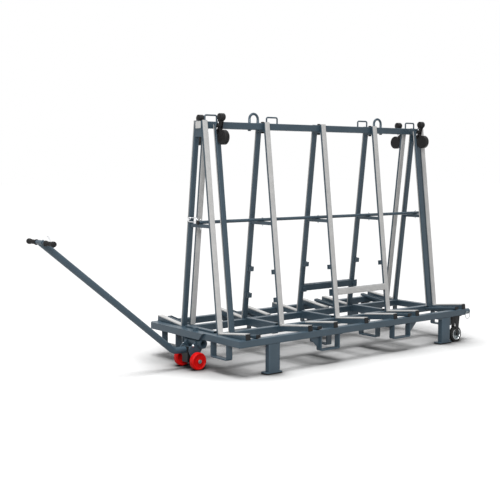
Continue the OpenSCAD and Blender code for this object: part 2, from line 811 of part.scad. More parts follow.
module clamp_bar(side, x) {
    neck = guide_slot - 2 * play;
    foot = guide_w - 2 * guide_wall - 2 * play;
    color(steel) at_bar(side, x) {
        translate([0, -bar_d / 2, (bar_top + bar_bottom) / 2])
            box_tube([bar_w, bar_d, bar_top - bar_bottom], post_wall, 2);
        translate([-bar_w / 2, -bar_d, bar_bottom - guide_wall]) cube([bar_w, bar_d, guide_wall]);
        translate([-neck / 2, -slider_l + strip_t, guide_top - guide_wall - play])
            cube([neck, slider_l, bar_bottom - guide_top + play]);
        translate([-foot / 2, -slider_l + strip_t, guide_bottom + guide_wall + play])
            cube([foot, slider_l, guide_h - 2 * guide_wall - 2 * play]);
    }
}

module clamp_strip(side, x) {
    color(strip_grey) at_bar(side, x) translate([0, strip_t, bar_bottom])
        mirror([0, 1, 0]) strip(bar_w, strip_t, bar_top - bar_bottom);
}

// The ratchet's two cheeks on a back plate, with the slotted spool between them
module ratchet_frame(side, x) {
    w = ratchet_w + 2 * ratchet_t;
    low = spool_up - 2 * spool_d;
    cheek_r = spool_out - bar_d - ratchet_t / 2;
    color(black) at_bar(side, x) {
        translate([-w / 2, -bar_d - ratchet_t, low]) cube([w, ratchet_t, 3 * spool_d]);
        for (s = [-1, 1]) translate([s * (ratchet_w + ratchet_t) / 2 - ratchet_t / 2, 0, 0])
            rotate([90, 0, 90]) linear_extrude(ratchet_t) difference() {
                union() {
                    polygon([[-bar_d, spool_up + cheek_r], [-bar_d, low], [-bar_d - spool_d / 2, low],
                             [-spool_out - cheek_r, spool_up], [-spool_out, spool_up + cheek_r]]);
                    translate([-spool_out, spool_up]) circle(cheek_r);
                }
                translate([-spool_out, spool_up]) circle(d = spool_d / 2 + gap);
            }
        translate([-ratchet_w / 2, -spool_out, spool_up]) rotate([0, 90, 0])
            cylinder(d = spool_d, h = ratchet_w);
        translate([-w / 2 - 2 * ratchet_t - gap, -spool_out, spool_up]) rotate([0, 90, 0])
            cylinder(d = spool_d / 2, h = w + 4 * ratchet_t + 2 * gap);
    }
}

// The ratchet's lever: two arms outside the cheeks and a thick grip across their ends
module ratchet_handle(side, x) {
    arm_x = ratchet_w / 2 + ratchet_t + gap;
    grip_l = ratchet_w + 2 * ratchet_t;
    color(black) at_bar(side, x) translate([0, -spool_out, spool_up]) rotate([handle_lean, 0, 0]) {
        for (s = [-1, 1]) translate([s * (arm_x + ratchet_t / 2) - ratchet_t / 2, 0, 0]) rotate([90, 0, 90])
            linear_extrude(ratchet_t) difference() {
                union() {
                    circle(spool_d * 4 / 5);
                    translate([-spool_d / 2, 0]) square([spool_d, handle_l]);
                }
                circle(r = spool_d / 4 + run_play);
            }
        translate([0, 0, handle_l]) rotate([0, 90, 0]) grip_barrel(grip_l + 2 * gap);
    }
}

// A barrel with broken edges around X, of length l
module grip_barrel(l) {
    edge = grip_d / 10;
    rotate_extrude() polygon([[0, -l / 2], [grip_d / 2 - edge, -l / 2], [grip_d / 2, -l / 2 + edge],
                              [grip_d / 2, l / 2 - edge], [grip_d / 2 - edge, l / 2], [0, l / 2]]);
}

// The closed reel of black strap outside the bar, on a foot that is bolted to the bar's outer
// face, with a short run of strap that goes up to the ratchet's spool
module strap_reel(side, x) {
    edge = reel_w / 10;
    foot_out = reel_off + reel_d / 4;
    mouth_y = spool_out + spool_d / 2 + gap;
    mouth_up = reel_d / 3;
    color(black) at_bar(side, x) {
        translate([-reel_w / 2, -reel_out, reel_up]) rotate([0, 90, 0]) rotate_extrude()
            polygon([[0, 0], [reel_d / 2 - edge, 0], [reel_d / 2, edge], [reel_d / 2, reel_w - edge],
                     [reel_d / 2 - edge, reel_w], [0, reel_w]]);
        translate([-reel_w / 3, -bar_d - foot_out, reel_up - reel_d / 4])
            cube([reel_w * 2 / 3, foot_out, reel_d * 3 / 8]);
        translate([-ratchet_w / 2 + play, -mouth_y - ratchet_t / 2, reel_up + mouth_up])
            cube([ratchet_w - 2 * play, ratchet_t / 2, spool_over - mouth_up]);
    }
}

// Fixed wheels at the right end
module caster_forks() {
    leg_in = caster_w / 2 + 2 * play;
    over = leg_in + fork_t + caster_nut;
    arm = caster_plate_l * 5 / 16;
    color(black) placed() for (s = [-1, 1]) translate([caster_x, s * caster_y, 0]) {
        translate([-caster_plate_l / 2, -over, rail_z - fork_t]) cube([caster_plate_l, 2 * over, fork_t]);
        for (t = [-1, 1]) translate([0, t * (leg_in + fork_t / 2) + fork_t / 2, 0]) rotate([90, 0, 0])
            linear_extrude(fork_t) difference() {
                union() {
                    polygon([[-arm, rail_z - fork_t], [arm, rail_z - fork_t],
                             [caster_axle_d, caster_d / 2], [-caster_axle_d, caster_d / 2]]);
                    translate([0, caster_d / 2]) circle(caster_axle_d);
                }
                translate([0, caster_d / 2]) circle(r = caster_axle_d / 2 + gap);
            }
        translate([0, over - caster_nut, caster_d / 2]) rotate([90, 0, 0])
            through_bolt(caster_axle_d, caster_axle_d * 3 / 2, caster_nut, 0, 2 * (over - caster_nut), 0);
    }
}

module at_caster(side) {
    placed() translate([caster_x, side * caster_y, caster_d / 2]) rotate([90, 0, 0]) children();
}

module caster_tyre(side) {
    edge = tread_t / 4;
    color(black) at_caster(side) rotate_extrude($fn = 96) polygon([
        [caster_d / 2 - tread_t, -caster_w / 2], [caster_d / 2 - edge, -caster_w / 2],
        [caster_d / 2, -caster_w / 2 + edge], [caster_d / 2, caster_w / 2 - edge],
        [caster_d / 2 - edge, caster_w / 2], [caster_d / 2 - tread_t, caster_w / 2]]);
}

// A pressed steel wheel centre: rim, dished web and hub around the axle bolt
module caster_rim(side) {
    rim_r = caster_d / 2 - tread_t - run_play;
    hub_r = caster_axle_d;
    web = caster_w / 8;
    bore_r = caster_axle_d / 2 + run_play;
    color(zinc) at_caster(side) rotate_extrude($fn = 96) polygon([
        [bore_r, -caster_w / 2], [hub_r, -caster_w / 2], [hub_r, -web], [rim_r - 2 * web, -web],
        [rim_r - web, -caster_w / 2 + web], [rim_r, -caster_w / 2 + web], [rim_r, caster_w / 2 - web],
        [rim_r - web, caster_w / 2 - web], [rim_r - 2 * web, web], [hub_r, web], [hub_r, caster_w / 2],
        [bore_r, caster_w / 2]]);
}

// Tow stub and its lynch pin
stub_y = -(half_w - rail_s / 2);
stub_z = rail_z + rail_s / 2;
lynch_x = base_l + lynch_out;
collar_d = stub_d + 2 * collar_t;

// The pin goes through the root's collar, and a tow coupling slips over the free stretch
module tow_stub() {
    color(steel) placed() difference() {
        translate([base_l, stub_y, stub_z]) rotate([0, 90, 0]) difference() {
            union() {
                cylinder(d = stub_d, h = stub_l);
                cylinder(d = collar_d, h = lynch_out + lynch_d / 2 + 2 * play);
            }
            translate([0, 0, -cut]) cylinder(d = stub_d - 2 * stub_wall, h = stub_l + 2 * cut);
        }
        translate([lynch_x, stub_y, stub_z]) rotate([90, 0, 0])
            cylinder(r = lynch_d / 2 + gap, h = 2 * stub_d, center = true);
    }
}

// The pin goes through the stub from the front, and a ring hangs on its head
module lynch_pin() {
    head = lynch_d * 2 / 3;
    head_out = collar_d / 2 + gap;
    ring_r = stub_d / 2;
    color(zinc) placed() translate([lynch_x, stub_y, stub_z]) rotate([90, 0, 0]) {
        translate([0, 0, -stub_d * 7 / 10]) cylinder(d = lynch_d, h = stub_d * 7 / 5);
        translate([0, 0, head_out]) cylinder(d = lynch_d * 3 / 2, h = head);
        translate([0, -ring_r, head_out + head / 2])
            rotate_extrude() translate([ring_r, 0]) circle(d = lynch_d / 3);
    }
}

// The lever dolly. Its head is a barrel with two journals under the end rail, and the king
// pin stands up from it through the rail
module swivel_head() {
    barrel_l = plate_gauge - plate_t - 2 * gap;
    pin_top = rail_top + king_d / 5;
    hollow = (saddle_l - barrel_l) / 2;
    color(steel) placed() translate([saddle_x, 0, 0]) {
        translate([0, 0, saddle_z]) rotate([90, 0, 0]) difference() {
            union() {
                cylinder(d = saddle_d, h = barrel_l, center = true);
                cylinder(d = journal_d, h = saddle_l, center = true);
            }
            for (s = [-1, 1]) translate([0, 0, s * saddle_l / 2])
                cylinder(d = journal_d - 4 * rail_wall, h = 2 * hollow, center = true);
        }
        translate([0, 0, saddle_z]) cylinder(d = king_d, h = pin_top - saddle_z);
        translate([0, 0, rail_top + gap]) cylinder(d = rail_s - 2 * play, h = rail_wall);
        translate([0, 0, rail_top + gap + rail_wall]) hex_head(king_d * 4 / 3, king_d * 2 / 3);
    }
}

// Collars on the journals' ends, outside the lever's plates
module saddle_collars() {
    inside = (plate_gauge + plate_t) / 2 + gap;
    color(steel) placed() translate([saddle_x, 0, saddle_z]) for (s = [-1, 1]) rotate([90 * s, 0, 0])
        translate([0, 0, inside]) difference() {
            cylinder(d = saddle_d, h = saddle_l / 2 - inside);
            translate([0, 0, -cut]) cylinder(r = journal_d / 2 + run_play, h = saddle_l);
        }
}

// Outlines rounded by circles, each given as [x, z, r] and listed against the clock
function normal(p, q) = atan2(q[1] - p[1], q[0] - p[0])
    - acos((p[2] - q[2]) / norm([q[0] - p[0], q[1] - p[1]]));
function swing(a, b) = b < a ? swing(a, b + 360) : b - a;
function arc(c, a, b) = [for (i = [0:arc_steps]) let (t = a + swing(a, b) * i / arc_steps)
    [c[0] + c[2] * cos(t), c[1] + c[2] * sin(t)]];
function around(c) = [for (i = [0:len(c) - 1])
    let (before = c[(i + len(c) - 1) % len(c)], after = c[(i + 1) % len(c)])
    each arc(c[i], normal(before, c[i]), normal(c[i], after))];
arc_steps = 8;

// The lever: two side plates that turn on the journals, and the cross plate between them
// that the drawbar is welded to
module lever_frame() {
    eye = [axle_x, axle_z, axle_d];
    saddle = [saddle_x, saddle_z, saddle_d / 2];
    back = [axle_x - axle_d, draw_low_z, draw_back];
    color(steel) placed() {
        for (s = [-1, 1]) translate([0, s * plate_gauge / 2 + plate_t / 2, 0]) rotate([90, 0, 0])
            linear_extrude(plate_t) difference() {
                polygon(around([eye, saddle, back]));
                translate([axle_x, axle_z]) circle(r = axle_d / 2 + run_play);
                translate([saddle_x, saddle_z]) circle(r = journal_d / 2 + run_play);
            }
        translate([draw_start, -plate_gauge / 2, draw_low_z - draw_d / 2 - play])
            cube([plate_t, plate_gauge, draw_d + 2 * play]);
    }
}

// The axle, with a washer and a pin head outside each wheel
module dolly_axle() {
    over = (wheel_gauge + wheel_w) / 2;
    color(zinc) placed() translate([axle_x, 0, axle_z]) rotate([90, 0, 0]) {
        cylinder(d = axle_d, h = 2 * (over + plate_t), center = true);
        for (s = [-1, 1]) translate([0, 0, s * (over + plate_t / 4 + gap)])
            cylinder(d = axle_d * 3 / 2, h = plate_t / 2, center = true);
    }
}

// The drawbar's tube: level from the lever, an elbow, and the long sloping part
module draw_tube(d, start, end) {
    translate([draw_start + start, 0, draw_low_z]) rotate([0, -90, 0])
        cylinder(d = d, h = draw_bend_out - bend_tan + draw_start + start);
    translate([draw_x0 + bend_tan, 0, draw_low_z + draw_bend_r]) rotate([90, 0, 0])
        rotate([0, 0, -90 - draw_slope - elbow_lap]) rotate_extrude(angle = draw_slope + 2 * elbow_lap)
            translate([draw_bend_r, 0]) circle(d = d - 2 * elbow_step);
    along_draw(bend_tan) cylinder(d = d, h = draw_l - bend_tan + end);
}

// The frame of the sloping part: local Z runs up along it, local X points up from it
module along_draw(z) {
    translate([draw_x0, 0, draw_low_z]) rotate([0, draw_slope - 90, 0]) translate([0, 0, z]) children();
}

// Place of the release lever's pin, beside and below the drawbar's head
release_x = draw_d / 2 + release_pin * 3 / 2;
release_z = draw_l - sleeve_l - 2 * release_pin;

module drawbar() {
    sleeve_d = handle_d + 2 * sleeve_wall;
    ear = release_pin;
    color(steel) placed() {
        difference() {
            draw_tube(draw_d, 0, 0);
            draw_tube(draw_d - 2 * draw_wall, cut, -sleeve_d / 2 - draw_wall);
        }
        translate([head_x, 0, head_z]) rotate([90, 0, 0]) {
            cylinder(d = handle_d, h = handle_w - 2 * cap_t, center = true);
            cylinder(d = sleeve_d, h = sleeve_l, center = true);
        }
        along_draw(release_z) for (s = [-1, 1]) difference() {
            translate([0, s * (release_t / 2 + gap + draw_wall / 2), 0])
                translate([draw_d / 2 - draw_wall, -draw_wall / 2, -ear])
                    cube([release_x + ear - draw_d / 2 + draw_wall, draw_wall, 2 * ear]);
            translate([release_x, 0, 0]) rotate([90, 0, 0])
                cylinder(r = release_pin / 2 + run_play, h = 2 * release_t, center = true);
        }
    }
}

module handle_grips() {
    r = rubber_grip_d / 2;
    edge = rubber_grip_d / 8;
    color(black) placed() for (s = [-1, 1]) mirror([0, s > 0 ? 1 : 0, 0])
        translate([head_x, -handle_w / 2 + rubber_grip_l, head_z]) rotate([90, 0, 0]) difference() {
            rotate_extrude() polygon([[0, 0], [r - edge, 0], [r, edge], [r, rubber_grip_l - edge],
                                      [r - edge, rubber_grip_l], [0, rubber_grip_l]]);
            translate([0, 0, -cut]) cylinder(r = handle_d / 2 + run_play, h = rubber_grip_l - cap_t + cut);
        }
}

// A lever on top of the drawbar's head, that the hand pulls down to free the dolly
module release_lever() {
    pivot = [0, 0, release_pin];
    tip = [release_l, release_rise, release_pin * 3 / 4];
    pin_l = release_t + 2 * gap + 2 * draw_wall;
    color(zinc) placed() along_draw(release_z) translate([release_x, 0, 0]) {
        rotate([90, 0, 0]) cylinder(d = release_pin, h = pin_l, center = true);
        rotate([0, -90, -90]) translate([0, 0, -release_t / 2]) linear_extrude(release_t)
            polygon(around([pivot, tip]));
    }
}

// A wheel with a rounded tread, a recessed face and a hub
module dolly_wheel(side) {
    r = wheel_d / 2;
    edge = wheel_w / 6;
    dish = wheel_w / 8;
    bore_r = axle_d / 2 + run_play;
    color(red) placed() translate([axle_x, side * wheel_gauge / 2, axle_z]) rotate([90, 0, 0])
        rotate_extrude($fn = 96) polygon([
            [bore_r, -wheel_w / 2], [axle_d, -wheel_w / 2], [axle_d, -wheel_w / 2 + dish],
            [r * 3 / 4, -wheel_w / 2 + dish], [r * 3 / 4 + dish, -wheel_w / 2], [r - edge, -wheel_w / 2],
            [r, -wheel_w / 2 + edge], [r, wheel_w / 2 - edge], [r - edge, wheel_w / 2],
            [r * 3 / 4 + dish, wheel_w / 2], [r * 3 / 4, wheel_w / 2 - dish], [axle_d, wheel_w / 2 - dish],
            [axle_d, wheel_w / 2], [bore_r, wheel_w / 2]]);
}

side_rails();
end_rails();
inner_rails();
cross_sills();
legs();
leg_pads();
fork_pockets();
posts(-1);  // front_posts
posts(1);  // back_posts
rubber_strips();
foot_beams();
end_caps();
bar_guides();
top_rail();
rail_end_caps();
lifting_eyes();
strap_staples();
frame_ties();
frame_bolts();
tie_rod();
tow_stub();
lynch_pin();
caster_forks();
caster_tyre(-1);  // caster_tyre_front
caster_tyre(1);  // caster_tyre_back
caster_rim(-1);  // caster_rim_front
caster_rim(1);  // caster_rim_back
slat(-1);  // front_slat
slat(1);  // back_slat
slat_strip(-1);  // front_slat_strip
slat_strip(1);  // back_slat_strip
clamp_bar(-1, guide_xs[0]);  // clamp_bar_fl
clamp_strip(-1, guide_xs[0]);  // clamp_strip_fl
ratchet_frame(-1, guide_xs[0]);  // ratchet_frame_fl
ratchet_handle(-1, guide_xs[0]);  // ratchet_handle_fl
strap_reel(-1, guide_xs[0]);  // strap_reel_fl
clamp_bar(-1, guide_xs[3]);  // clamp_bar_fr
clamp_strip(-1, guide_xs[3]);  // clamp_strip_fr
ratchet_frame(-1, guide_xs[3]);  // ratchet_frame_fr
ratchet_handle(-1, guide_xs[3]);  // ratchet_handle_fr
strap_reel(-1, guide_xs[3]);  // strap_reel_fr
clamp_bar(1, guide_xs[0]);  // clamp_bar_bl
clamp_strip(1, guide_xs[0]);  // clamp_strip_bl
ratchet_frame(1, guide_xs[0]);  // ratchet_frame_bl
ratchet_handle(1, guide_xs[0]);  // ratchet_handle_bl
strap_reel(1, guide_xs[0]);  // strap_reel_bl
clamp_bar(1, guide_xs[3]);  // clamp_bar_br
clamp_strip(1, guide_xs[3]);  // clamp_strip_br
ratchet_frame(1, guide_xs[3]);  // ratchet_frame_br
ratchet_handle(1, guide_xs[3]);  // ratchet_handle_br
strap_reel(1, guide_xs[3]);  // strap_reel_br
swivel_head();
saddle_collars();
lever_frame();
dolly_axle();
drawbar();
handle_grips();
release_lever();
dolly_wheel(-1);  // dolly_wheel_front
dolly_wheel(1);  // dolly_wheel_back
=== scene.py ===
import json
import math

import bmesh
import bpy
from mathutils import Matrix, Vector


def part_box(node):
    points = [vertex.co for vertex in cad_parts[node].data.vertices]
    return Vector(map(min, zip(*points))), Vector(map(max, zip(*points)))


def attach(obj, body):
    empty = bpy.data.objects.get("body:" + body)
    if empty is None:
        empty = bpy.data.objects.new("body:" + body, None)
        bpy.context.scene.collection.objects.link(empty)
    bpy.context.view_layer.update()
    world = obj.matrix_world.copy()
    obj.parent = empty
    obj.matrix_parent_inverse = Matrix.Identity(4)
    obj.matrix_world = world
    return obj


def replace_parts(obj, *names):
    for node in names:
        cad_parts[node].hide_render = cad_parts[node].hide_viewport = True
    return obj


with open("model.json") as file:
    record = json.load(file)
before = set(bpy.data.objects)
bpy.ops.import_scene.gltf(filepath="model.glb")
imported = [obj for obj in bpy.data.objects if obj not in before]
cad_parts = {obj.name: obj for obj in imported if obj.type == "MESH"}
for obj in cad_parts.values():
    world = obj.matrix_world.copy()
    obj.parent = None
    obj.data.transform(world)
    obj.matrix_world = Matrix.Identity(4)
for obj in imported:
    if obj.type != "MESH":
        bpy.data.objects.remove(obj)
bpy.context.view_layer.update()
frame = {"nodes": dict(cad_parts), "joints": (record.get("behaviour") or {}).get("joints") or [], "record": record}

nodes = frame["nodes"]
JOINTS = {joint["name"]: joint for joint in frame["joints"]}
BODY_OF = {name: body for body, members in frame["record"]["behaviour"]["bodies"].items() for name in members}
SLOT_OF = {part["node"]: part["material_slot"] for part in frame["record"]["subparts"]}

# The base's left end, half its width, and the heights of its rails' undersides and tops, in metres
base_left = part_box("side_rails")[0][0]
HALF_W = 0.55
RAIL_Z = 0.215
RAIL_TOP = RAIL_Z + 0.05


# Materials

def new_material(name):
    mat = bpy.data.materials.new(name)
    mat.use_nodes = True
    tree = mat.node_tree
    return mat, tree, tree.nodes["Principled BSDF"]


def noise(tree, scale, detail=4.0):
    coords = tree.nodes.new("ShaderNodeTexCoord")
    made = tree.nodes.new("ShaderNodeTexNoise")
    made.inputs["Scale"].default_value = scale
    made.inputs["Detail"].default_value = detail
    made.inputs["Roughness"].default_value = 0.55
    tree.links.new(coords.outputs["Object"], made.inputs["Vector"])
    return made


def ramp(tree, source, stops):
    made = tree.nodes.new("ShaderNodeValToRGB")
    made.color_ramp.elements[0].position = stops[0][0]
    made.color_ramp.elements[0].color = stops[0][1]
    made.color_ramp.elements[1].position = stops[-1][0]
    made.color_ramp.elements[1].color = stops[-1][1]
    for place, colour in stops[1:-1]:
        made.color_ramp.elements.new(place).color = colour
    tree.links.new(source, made.inputs["Fac"])
    return made


def grey(value):
    return (value, value, value, 1.0)


def bump(tree, shader, source, strength, distance):
    made = tree.nodes.new("ShaderNodeBump")
    made.inputs["Strength"].default_value = strength
    made.inputs["Distance"].default_value = distance
    tree.links.new(source, made.inputs["Height"])
    tree.links.new(made.outputs["Normal"], shader.inputs["Normal"])


def varied(name, low, high, rough, grain, metallic=0.0, coat=0.0, specular=0.5, patch=9.0):
    """A surface whose colour and gloss wander a little, over a fine grain given as (scale, depth)."""
    mat, tree, shader = new_material(name)
    wide = noise(tree, patch)
    colour = ramp(tree, wide.outputs["Fac"], [(0.3, (*low, 1.0)), (0.7, (*high, 1.0))])
    tree.links.new(colour.outputs["Color"], shader.inputs["Base Color"])
    gloss = ramp(tree, wide.outputs["Fac"], [(0.25, grey(rough[0])), (0.75, grey(rough[1]))])
    tree.links.new(gloss.outputs["Color"], shader.inputs["Roughness"])
    fine = noise(tree, grain[0], 2.0)
    bump(tree, shader, fine.outputs["Fac"], 0.25, grain[1])
    shader.inputs["Metallic"].default_value = metallic
    shader.inputs["Specular IOR Level"].default_value = specular
    shader.inputs["Coat Weight"].default_value = coat
    shader.inputs["Coat Roughness"].default_value = 0.15
    return mat


MATERIALS = {
    "frame_paint": varied("frame_paint", (0.041, 0.070, 0.095), (0.052, 0.085, 0.113), (0.34, 0.46),
                          (420.0, 0.0002), specular=0.35, coat=0.08),
    "strip_rubber": varied("strip_rubber", (0.52, 0.52, 0.515), (0.62, 0.615, 0.605), (0.62, 0.78),
                           (600.0, 0.0003), patch=14.0, specular=0.35),
    "zinc_steel": varied("zinc_steel", (0.16, 0.19, 0.20), (0.26, 0.29, 0.30), (0.32, 0.48),
                         (500.0, 0.0001), metallic=0.7, patch=30.0),
    "bright_steel": varied("bright_steel", (0.72, 0.73, 0.75), (0.82, 0.83, 0.84), (0.12, 0.22),
                           (500.0, 0.0001), metallic=1.0, patch=30.0),
    "black_plastic": varied("black_plastic", (0.008, 0.008, 0.0085), (0.014, 0.014, 0.0145), (0.40, 0.55),
                            (700.0, 0.0002), patch=25.0, specular=0.2),
    "pale_plastic": varied("pale_plastic", (0.60, 0.60, 0.59), (0.68, 0.68, 0.67), (0.40, 0.52),
                           (600.0, 0.0002), patch=20.0),
    "black_rubber": varied("black_rubber", (0.008, 0.008, 0.008), (0.015, 0.015, 0.015), (0.6, 0.8),
                           (500.0, 0.0004), patch=25.0, specular=0.2),
    "black_paint": varied("black_paint", (0.009, 0.009, 0.010), (0.016, 0.016, 0.017), (0.34, 0.46),
                          (450.0, 0.0002), patch=20.0, specular=0.2),
    "tyre_black": varied("tyre_black", (0.012, 0.012, 0.012), (0.024, 0.024, 0.023), (0.65, 0.85),
                         (350.0, 0.0005), patch=22.0, specular=0.3),
    "red_wheel": varied("red_wheel", (0.56, 0.003, 0.003), (0.70, 0.006, 0.005), (0.34, 0.46),
                        (500.0, 0.0002), patch=18.0, specular=0.12),
}


def dress_frame():
    """Every CAD node gets the material of its slot in the record."""
    for part in frame["record"]["subparts"]:
        thing = nodes[part["node"]]
        mat = MATERIALS[part["material_slot"]]
        if not thing.material_slots:
            thing.data.materials.append(mat)
        for place in thing.material_slots:
            place.material = mat


# Making pieces

SHARP = math.radians(35.0)


def finish_piece(name, mesh, body, slot):
    """Puts a mesh into the scene, smooth but for its sharp edges, with its body and its material."""
    thing = bpy.data.objects.new(name, mesh)
    bpy.context.collection.objects.link(thing)
    mesh.materials.clear()
    mesh.materials.append(MATERIALS[slot])
    for face in mesh.polygons:
        face.use_smooth = True
        face.material_index = 0
    mesh.set_sharp_from_angle(angle=SHARP)
    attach(thing, body)
    return thing


def add_edges(thing, width):
    bevel = thing.modifiers.new("edges", "BEVEL")
    bevel.width = width
    bevel.segments = 2
    bevel.limit_method = "ANGLE"
    bevel.angle_limit = math.radians(40.0)
    bevel.use_clamp_overlap = True
    bevel.harden_normals = True


def clean_mesh(source, name, keep=None):
    """A copy of a CAD mesh with its flat faces whole again, ready for bevels. keep picks points by place."""
    made = bmesh.new()
    made.from_mesh(source)
    bmesh.ops.remove_doubles(made, verts=made.verts, dist=1e-5)
    if keep:
        spare = [vert for vert in made.verts if not keep(vert.co)]
        bmesh.ops.delete(made, geom=spare, context="VERTS")
    bmesh.ops.dissolve_limit(made, angle_limit=math.radians(0.6), verts=made.verts, edges=made.edges)
    mesh = bpy.data.meshes.new(name)
    made.to_mesh(mesh)
    made.free()
    return mesh


def soften(name, width):
    """Shows a CAD node with its edges rounded by width, as rolled, pressed or moulded pieces have them."""
    mesh = clean_mesh(nodes[name].data, "soft_" + name)
    thing = finish_piece("soft_" + name, mesh, BODY_OF[name], SLOT_OF[name])
    add_edges(thing, width)
    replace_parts(thing, name)


# Rounding of each piece's outer edges, in metres
EDGES = {"leg_pads": 0.002, "fork_pockets": 0.002, "end_caps": 0.0012, "rail_end_caps": 0.001,
         "frame_ties": 0.002, "front_slat": 0.0015, "back_slat": 0.0015, "lever_frame": 0.0015,
         "caster_forks": 0.001, "legs": 0.0015, "tow_stub": 0.001, "swivel_head": 0.001,
         "saddle_collars": 0.001, "dolly_axle": 0.0008}


class Builder:
    """Collects turned, swept and boxed forms into one mesh."""

    def __init__(self):
        self.made = bmesh.new()

    def ring_faces(self, rings):
        """Joins rings of points by faces and closes the first and the last. A ring may be one point."""
        for low, high in zip(rings, rings[1:]):
            count = max(len(low), len(high))
            for i in range(count):
                j = (i + 1) % count
                corners = [low[i % len(low)], low[j % len(low)], high[j % len(high)], high[i % len(high)]]
                unique = []
                for vert in corners:
                    if vert not in unique:
                        unique.append(vert)
                if len(unique) > 2:
                    self.made.faces.new(unique)
        for ring, turn in ((rings[0], -1), (rings[-1], 1)):
            if len(ring) > 2:
                self.made.faces.new(ring[::turn])

    def turned(self, place, profile, sides=40):
        """profile is (radius, height) points from the bottom up, around the local Z of the matrix place."""
        rings = []
        turns = [math.tau * i / sides for i in range(sides)]
        for radius, height in profile:
            corners = [(0.0, 0.0)]
            if radius:
                corners = [(radius * math.cos(turn), radius * math.sin(turn)) for turn in turns]
            rings.append([self.made.verts.new(place @ Vector((x, y, height))) for x, y in corners])
        self.ring_faces(rings)

    def swept(self, points, radii, sides=8):
        """A tube along points, with a radius for each."""
        rings = []
        turns = [math.tau * k / sides for k in range(sides)]
        side = None
        for i, point in enumerate(points):
            ahead = (points[min(i + 1, len(points) - 1)] - points[max(i - 1, 0)]).normalized()
            if side is None:
                side = ahead.orthogonal().normalized()
            side = (side - ahead * side.dot(ahead)).normalized()
            other = ahead.cross(side)
            rings.append([self.made.verts.new(
                point + radii[i] * (math.cos(turn) * side + math.sin(turn) * other)) for turn in turns])
        self.ring_faces(rings)

    def boxed(self, place, low, high):
        """A box between two local corners."""
        corners = [Vector((x, y, z))
                   for z in (low[2], high[2]) for y in (low[1], high[1]) for x in (low[0], high[0])]
        verts = [self.made.verts.new(place @ corner) for corner in corners]
        for face in ((0, 2, 3, 1), (4, 5, 7, 6), (0, 1, 5, 4), (2, 6, 7, 3), (0, 4, 6, 2), (1, 3, 7, 5)):
            self.made.faces.new([verts[k] for k in face])

    def plate(self, place, outline, low, high):
        """A flat plate with its outline in the local XZ plane, between two heights along local Y."""
        rings = [[self.made.verts.new(place @ Vector((x, y, z))) for x, z in outline] for y in (low, high)]
        self.ring_faces(rings)

    def mesh(self, name):
        bmesh.ops.recalc_face_normals(self.made, faces=self.made.faces)
        mesh = bpy.data.meshes.new(name)
        self.made.to_mesh(mesh)
        self.made.free()
        return mesh


def upright_ring(middle, radius, steps):
    """Points of a closed circle in the XZ plane. The first comes again at the end."""
    turns = [math.tau * k / steps for k in range(steps + 1)]
    return [middle + Vector((radius * math.cos(turn), 0.0, radius * math.sin(turn))) for turn in turns]


# Pieces that are shown in place of plainer CAD ones

def add_grips():
    """Ribbed rubber grips with a flange and a thick end, on the ends of the cross handle."""
    low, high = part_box("handle_grips")
    # A hair under half the CAD grip's width keeps the new one inside it
    x, z, full = (low[0] + high[0]) / 2, (low[2] + high[2]) / 2, 0.497 * (high[2] - low[2])
    inner = min(abs(vert.co.y) for vert in nodes["handle_grips"].data.vertices)
    length = high[1] - inner
    profile = [(0.70 * full, 0.0), (0.90 * full, 0.0), (full, 0.002), (full, 0.005), (0.80 * full, 0.009)]
    ribs, start, end = 11, 0.010, length - 0.036
    for i in range(ribs):
        low_end = start + (end - start) * i / ribs
        step = (end - start) / ribs
        profile += [(0.73 * full, low_end), (0.78 * full, low_end + 0.35 * step),
                    (0.78 * full, low_end + 0.7 * step)]
    profile += [(0.76 * full, end), (0.97 * full, end + 0.010), (full, end + 0.016),
                (full, length - 0.010), (0.90 * full, length - 0.004), (0.68 * full, length - 0.001),
                (0.0, length)]
    build = Builder()
    for side in (-1, 1):
        outward = Matrix.Rotation(math.radians(-90 * side), 4, "X")
        build.turned(Matrix.Translation((x, side * inner, z)) @ outward, profile)
    thing = finish_piece("ribbed_grips", build.mesh("ribbed_grips"), "lever", "black_rubber")
    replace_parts(thing, "handle_grips")


def add_lynch_ring():
    """The lynch pin with its head and a wide wire ring that hangs on it at a slant."""
    low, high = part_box("lynch_pin")
    stub_low, stub_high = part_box("tow_stub")
    x, z = (low[0] + high[0]) / 2, (stub_low[2] + stub_high[2]) / 2
    place = Matrix.Translation((x, 0.0, z)) @ Matrix.Rotation(math.radians(90), 4, "X")
    front, back = -low[1] - 0.0001, -high[1]
    pin_r, head_r, head_l = 0.0049, 0.0074, 0.0072
    ring_r, wire, slant = 0.0290, 0.0021, math.radians(14.0)
    build = Builder()
    build.turned(place, [(0.0, back), (0.0030, back), (pin_r, back + 0.004), (pin_r, front - head_l - 0.0003),
                         (head_r, front - head_l), (head_r, front - 0.0012), (0.0062, front), (0.0, front)], 32)
    middle = Vector((x + ring_r * math.sin(slant), wire - front, z - ring_r * math.cos(slant)))
    path = upright_ring(middle, ring_r, 40)
    build.swept(path, [wire] * len(path), 10)
    thing = finish_piece("ringed_pin", build.mesh("ringed_pin"), "lynch", "zinc_steel")
    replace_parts(thing, "lynch_pin")


def split_bolts():
    """The bolts of the top rail are painted, those of the ties lie under level and are bare."""
    level = 1.4
    for name, slot, keep in (("top_bolts", "black_paint", lambda co: co.z > level),
                             ("tie_bolts", "bright_steel", lambda co: co.z < level)):
        thing = finish_piece(name, clean_mesh(nodes["frame_bolts"].data, name, keep), "rack", slot)
        add_edges(thing, 0.0008)
        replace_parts(thing, "frame_bolts")


# The dome of a rivet's or pin's head, as (radius, height) points
DOME = [(0.0068, 0.0), (0.0068, 0.0008), (0.0058, 0.0020), (0.0034, 0.0028), (0.0, 0.0031)]
